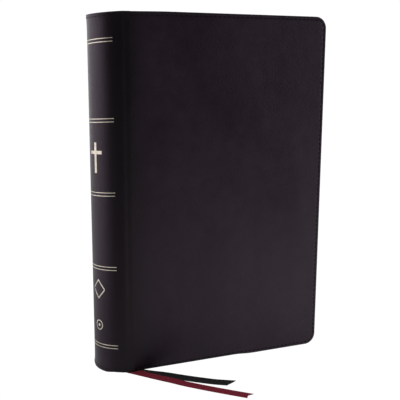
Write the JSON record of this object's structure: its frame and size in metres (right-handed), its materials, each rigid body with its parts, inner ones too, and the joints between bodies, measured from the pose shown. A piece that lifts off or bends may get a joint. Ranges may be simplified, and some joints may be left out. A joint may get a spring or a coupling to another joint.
{
  "type": "bible",
  "caption": "Leather-bound bible standing on its tail, covers ajar, with hinged covers, fanning leaves, gilt rules on the spine and ribbon markers.",
  "frame": {"origin": "middle of the standing book's box on the surface it stands on", "axes": "+X from the spine to the fore-edge, -Y towards the front cover, +Z from tail to head"},
  "size_m": [0.1498, 0.1652, 0.24],
  "materials": {
    "leather": "black leather with a soft satin sheen and fine grain",
    "board": "matt grey-brown card",
    "kraft": "matt brown paper",
    "gauze": "open-weave cotton gauze",
    "thread_white": "waxed linen thread",
    "thread_black": "black bonded thread",
    "band": "burgundy and cream woven band",
    "gilt": "pale gold foil, satin",
    "paper": "thin off-white paper with gilt edges",
    "endpaper": "black endpaper, matt",
    "ribbon_black": "black satin ribbon",
    "ribbon_burgundy": "burgundy satin ribbon"
  },
  "bodies": {
    "spine": {"spine_leather": "leather", "spine_inlay": "board", "hollow_tube": "kraft", "mull": "gauze", "sewing_thread": "thread_white", "head_band": "band", "tail_band": "band", "spine_rules": "gilt", "spine_cross": "gilt", "spine_lozenge": "gilt", "spine_ring": "gilt", "spine_stitching": "thread_black", "front_joint": "leather", "back_joint": "leather", "sewn_folds_front": "paper", "sewn_folds_back": "paper", "pages_middle": "paper", "ribbon_black": "ribbon_black", "ribbon_burgundy": "ribbon_burgundy"},
    "front_cover": {"front_cover_leather": "leather", "front_cover_board": "board", "front_pastedown": "endpaper", "front_cover_stitching": "thread_black"},
    "back_cover": {"back_cover_leather": "leather", "back_cover_board": "board", "back_pastedown": "endpaper", "back_cover_stitching": "thread_black"},
    "front_flyleaf": {"front_flyleaf": "endpaper"},
    "pages_front_1": {"pages_front_1": "paper"},
    "pages_front_2": {"pages_front_2": "paper"},
    "pages_front_3": {"pages_front_3": "paper"},
    "pages_front_4": {"pages_front_4": "paper"},
    "back_flyleaf": {"back_flyleaf": "endpaper"},
    "pages_back_1": {"pages_back_1": "paper"},
    "pages_back_2": {"pages_back_2": "paper"},
    "pages_back_3": {"pages_back_3": "paper"},
    "pages_back_4": {"pages_back_4": "paper"}
  },
  "joints": [
    {"name": "front_cover_hinge", "type": "hinge", "parent": "spine", "child": "front_cover", "pos_m": [-0.06424, -0.01866, 0], "axis": [0, 0, -1], "range_deg": [-20, 150]},
    {"name": "front_flyleaf_hinge", "type": "hinge", "parent": "spine", "child": "front_flyleaf", "pos_m": [-0.06074, -0.016, 0], "axis": [0, 0, -1], "range_deg": [-14, 105]},
    {"name": "pages_front_1_hinge", "type": "hinge", "parent": "spine", "child": "pages_front_1", "pos_m": [-0.06074, -0.016, 0], "axis": [0, 0, -1], "range_deg": [-12, 90]},
    {"name": "pages_front_2_hinge", "type": "hinge", "parent": "spine", "child": "pages_front_2", "pos_m": [-0.06074, -0.016, 0], "axis": [0, 0, -1], "range_deg": [-9.6, 72]},
    {"name": "pages_front_3_hinge", "type": "hinge", "parent": "spine", "child": "pages_front_3", "pos_m": [-0.06074, -0.016, 0], "axis": [0, 0, -1], "range_deg": [-7, 52.5]},
    {"name": "pages_front_4_hinge", "type": "hinge", "parent": "spine", "child": "pages_front_4", "pos_m": [-0.06074, -0.016, 0], "axis": [0, 0, -1], "range_deg": [-4, 30]},
    {"name": "back_cover_hinge", "type": "hinge", "parent": "spine", "child": "back_cover", "pos_m": [-0.06424, 0.01866, 0], "axis": [0, 0, 1], "range_deg": [-20, 150]},
    {"name": "back_flyleaf_hinge", "type": "hinge", "parent": "spine", "child": "back_flyleaf", "pos_m": [-0.06074, 0.016, 0], "axis": [0, 0, 1], "range_deg": [-14, 105]},
    {"name": "pages_back_1_hinge", "type": "hinge", "parent": "spine", "child": "pages_back_1", "pos_m": [-0.06074, 0.016, 0], "axis": [0, 0, 1], "range_deg": [-12, 90]},
    {"name": "pages_back_2_hinge", "type": "hinge", "parent": "spine", "child": "pages_back_2", "pos_m": [-0.06074, 0.016, 0], "axis": [0, 0, 1], "range_deg": [-9.6, 72]},
    {"name": "pages_back_3_hinge", "type": "hinge", "parent": "spine", "child": "pages_back_3", "pos_m": [-0.06074, 0.016, 0], "axis": [0, 0, 1], "range_deg": [-7, 52.5]},
    {"name": "pages_back_4_hinge", "type": "hinge", "parent": "spine", "child": "pages_back_4", "pos_m": [-0.06074, 0.016, 0], "axis": [0, 0, 1], "range_deg": [-4, 30]}
  ],
  "couplings": [
    {"joint": "front_flyleaf_hinge", "follows": "front_cover_hinge", "ratio": 0.7},
    {"joint": "pages_front_1_hinge", "follows": "front_cover_hinge", "ratio": 0.6},
    {"joint": "pages_front_2_hinge", "follows": "front_cover_hinge", "ratio": 0.48},
    {"joint": "pages_front_3_hinge", "follows": "front_cover_hinge", "ratio": 0.35},
    {"joint": "pages_front_4_hinge", "follows": "front_cover_hinge", "ratio": 0.2},
    {"joint": "back_flyleaf_hinge", "follows": "back_cover_hinge", "ratio": 0.7},
    {"joint": "pages_back_1_hinge", "follows": "back_cover_hinge", "ratio": 0.6},
    {"joint": "pages_back_2_hinge", "follows": "back_cover_hinge", "ratio": 0.48},
    {"joint": "pages_back_3_hinge", "follows": "back_cover_hinge", "ratio": 0.35},
    {"joint": "pages_back_4_hinge", "follows": "back_cover_hinge", "ratio": 0.2}
  ]
}
